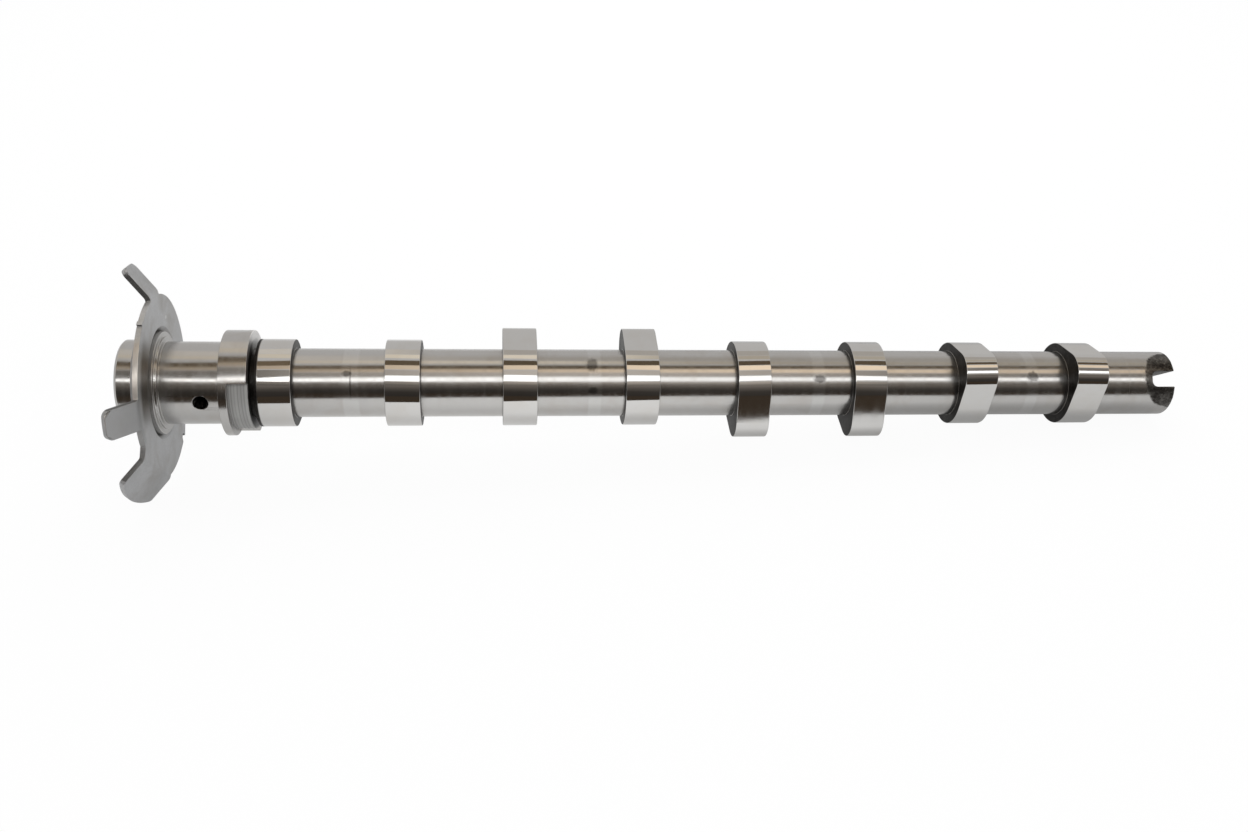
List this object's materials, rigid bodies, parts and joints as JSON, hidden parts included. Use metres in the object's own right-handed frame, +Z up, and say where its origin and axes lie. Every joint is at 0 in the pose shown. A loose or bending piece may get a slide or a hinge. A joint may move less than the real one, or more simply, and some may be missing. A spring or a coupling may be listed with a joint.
{
  "type": "camshaft",
  "caption": "Assembled engine camshaft: cams pressed on a ground tube, front journal with thrust collar and stamped timing plate, drive slot in the rear end.",
  "frame": {"origin": "on the shaft's axis, in the plane of the shoulder on which the timing gear seats at the front end", "axes": "+X towards the rear end with the drive slot, level, while the shaft slopes down along it by its rest angle; +Z up; -Y towards the viewer of the picture"},
  "size_m": [0.4124, 0.0865, 0.0837],
  "materials": {
    "ground_steel": "ground",
    "cam_steel": "ground faces, dark sintered sides",
    "plate_steel": "matt, as stamped",
    "blackened_steel": "ground, blackened round the slot"
  },
  "bodies": {
    "root": {"carrier_tube": "ground_steel", "cam_lobe_1": "cam_steel", "cam_lobe_2": "cam_steel", "cam_lobe_3": "cam_steel", "cam_lobe_4": "cam_steel", "cam_lobe_5": "cam_steel", "cam_lobe_6": "cam_steel", "cam_lobe_7": "cam_steel", "cam_lobe_8": "cam_steel", "front_journal": "ground_steel", "trigger_plate": "plate_steel", "drive_end": "blackened_steel"}
  },
  "joints": []
}
